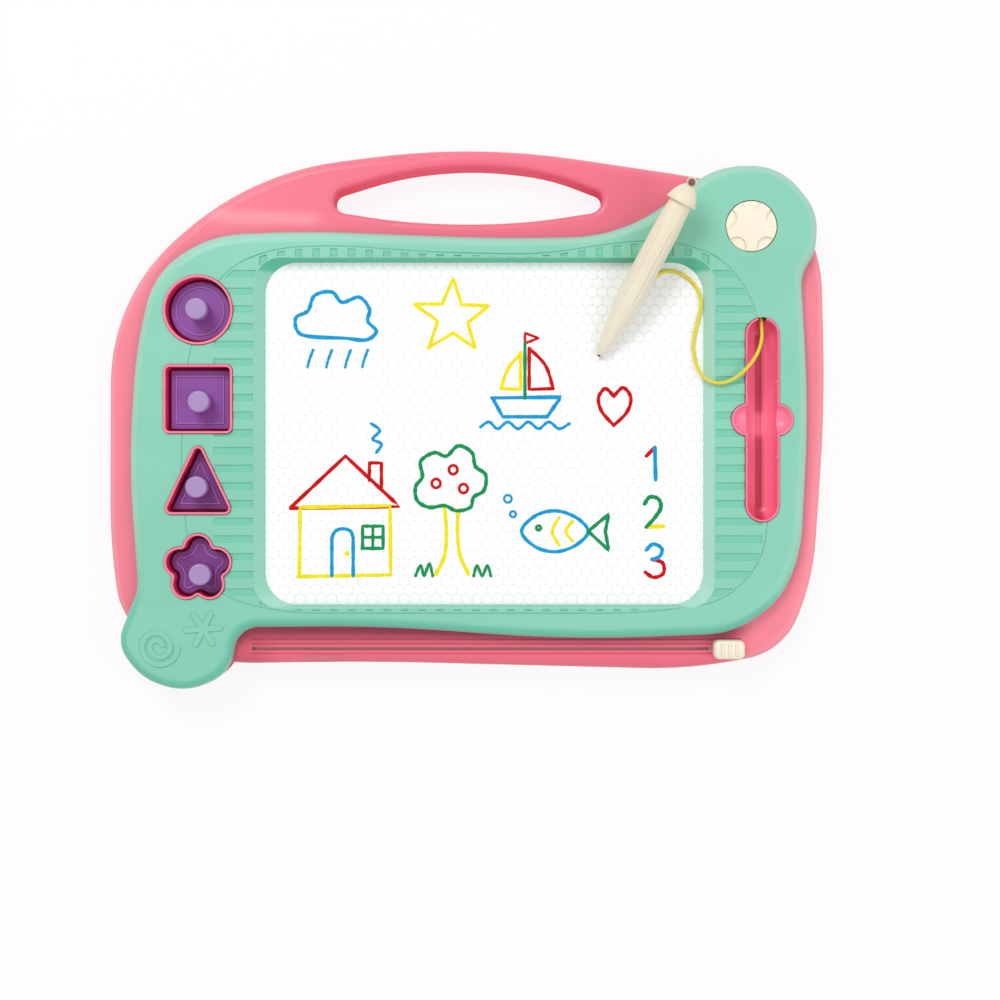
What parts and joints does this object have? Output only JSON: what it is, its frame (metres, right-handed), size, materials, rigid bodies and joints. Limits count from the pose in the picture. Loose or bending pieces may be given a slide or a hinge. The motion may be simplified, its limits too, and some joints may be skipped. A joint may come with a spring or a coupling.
{
  "type": "kids drawing board",
  "caption": "Magnetic drawing board for a child: wavy body with carry handle, ribbed bezel, white screen, eraser slider, shape stamps in wells, pen tray, corner dial and pen on a cord.",
  "frame": {"origin": "centre of the bounding box, on the plane of the flat back", "axes": "+X to the right across the board, +Y towards the carry handle, +Z out of the screen, with the board lying on its back"},
  "size_m": [0.4209, 0.3162, 0.0588],
  "materials": {
    "body_pink": "satin",
    "bezel_mint": "satin",
    "film_clear": "gloss",
    "cell_white": "matt",
    "stamp_purple": "satin",
    "flexible_magnet": "matt",
    "slider_white": "matt",
    "cream_plastic": "satin",
    "steel": "brushed",
    "cord_yellow": "braided",
    "cord_seal_brown": "melted and knotted"
  },
  "bodies": {
    "board": {"main_body": "body_pink", "circle_well": "body_pink", "square_well": "body_pink", "triangle_well": "body_pink", "flower_well": "body_pink", "pen_tray": "body_pink", "front_bezel": "bezel_mint", "rear_cover": "body_pink", "screen_back_film": "film_clear", "screen_cell_core": "cell_white", "screen_front_film": "film_clear", "rear_screws": "steel", "bezel_screws": "steel", "pen_cord": "cord_yellow", "cord_anchor_knot": "cord_yellow"},
    "eraser": {"eraser_bar": "slider_white", "eraser_magnet": "flexible_magnet", "eraser_knob": "cream_plastic"},
    "dial": {"corner_dial": "cream_plastic", "dial_washer": "steel", "dial_screw": "steel"},
    "pen": {"pen_barrel": "cream_plastic", "pen_cap": "cream_plastic", "pen_magnet": "steel", "cord_pen_knot": "cord_seal_brown"},
    "circle_piece": {"circle_stamp": "stamp_purple", "circle_stamp_magnet": "flexible_magnet"},
    "square_piece": {"square_stamp": "stamp_purple", "square_stamp_magnet": "flexible_magnet"},
    "triangle_piece": {"triangle_stamp": "stamp_purple", "triangle_stamp_magnet": "flexible_magnet"},
    "flower_piece": {"flower_stamp": "stamp_purple", "flower_stamp_magnet": "flexible_magnet"}
  },
  "joints": [
    {"name": "eraser_slide", "type": "slide", "parent": "board", "child": "eraser", "axis": [-1, 0, 0], "range_m": [0, 0.2719]},
    {"name": "dial_spin", "type": "hinge", "parent": "board", "child": "dial", "pos_m": [0.1654, 0.1113, 0.025], "axis": [0, 0, 1], "continuous": true},
    {"name": "pen_lift", "type": "slide", "parent": "board", "child": "pen", "axis": [0, 0, 1], "range_m": [0, 0.04]},
    {"name": "circle_lift", "type": "slide", "parent": "board", "child": "circle_piece", "axis": [0, 0, 1], "range_m": [0, 0.035]},
    {"name": "square_lift", "type": "slide", "parent": "board", "child": "square_piece", "axis": [0, 0, 1], "range_m": [0, 0.035]},
    {"name": "triangle_lift", "type": "slide", "parent": "board", "child": "triangle_piece", "axis": [0, 0, 1], "range_m": [0, 0.035]},
    {"name": "flower_lift", "type": "slide", "parent": "board", "child": "flower_piece", "axis": [0, 0, 1], "range_m": [0, 0.035]}
  ]
}
